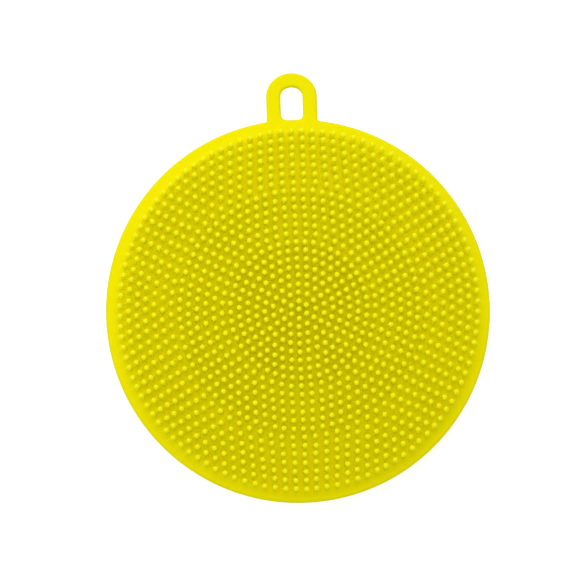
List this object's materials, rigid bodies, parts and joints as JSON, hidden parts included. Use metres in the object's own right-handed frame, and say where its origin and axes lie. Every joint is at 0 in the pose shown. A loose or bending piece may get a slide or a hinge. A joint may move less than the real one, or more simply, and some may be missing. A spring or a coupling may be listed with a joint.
{
  "type": "scalp massager brush",
  "caption": "Round flat silicone scrubbing and massage pad with rings of short round-tipped bristles on both faces, a smooth rim and a hanging loop.",
  "frame": {"origin": "centre of the round pad on the plane of the back bristle tips, which it rests on", "axes": "+Z out of the front face, +Y from the pad's centre towards the hanging loop, +X to the right when the front is seen with the loop at the top"},
  "size_m": [0.112, 0.1258, 0.012],
  "materials": {
    "silicone_body": "satin moulded silicone rubber, bright yellow",
    "silicone_bristles": "satin moulded silicone rubber, bright yellow, a little lighter at the tips"
  },
  "bodies": {
    "pad": {"web": "silicone_body", "rim": "silicone_body", "loop_straps": "silicone_body", "front_inner_bristles": "silicone_bristles", "front_middle_bristles": "silicone_bristles", "front_outer_bristles": "silicone_bristles", "back_inner_bristles": "silicone_bristles", "back_middle_bristles": "silicone_bristles", "back_outer_bristles": "silicone_bristles"},
    "loop": {"hang_loop": "silicone_body"}
  },
  "joints": [
    {"name": "loop_bend", "type": "hinge", "parent": "pad", "child": "loop", "pos_m": [0, 0.0592, 0.006], "axis": [1, 0, 0], "range_deg": [-90, 90], "stiffness_Nm_per_rad": 0.004, "deforming": ["loop_straps"]}
  ]
}
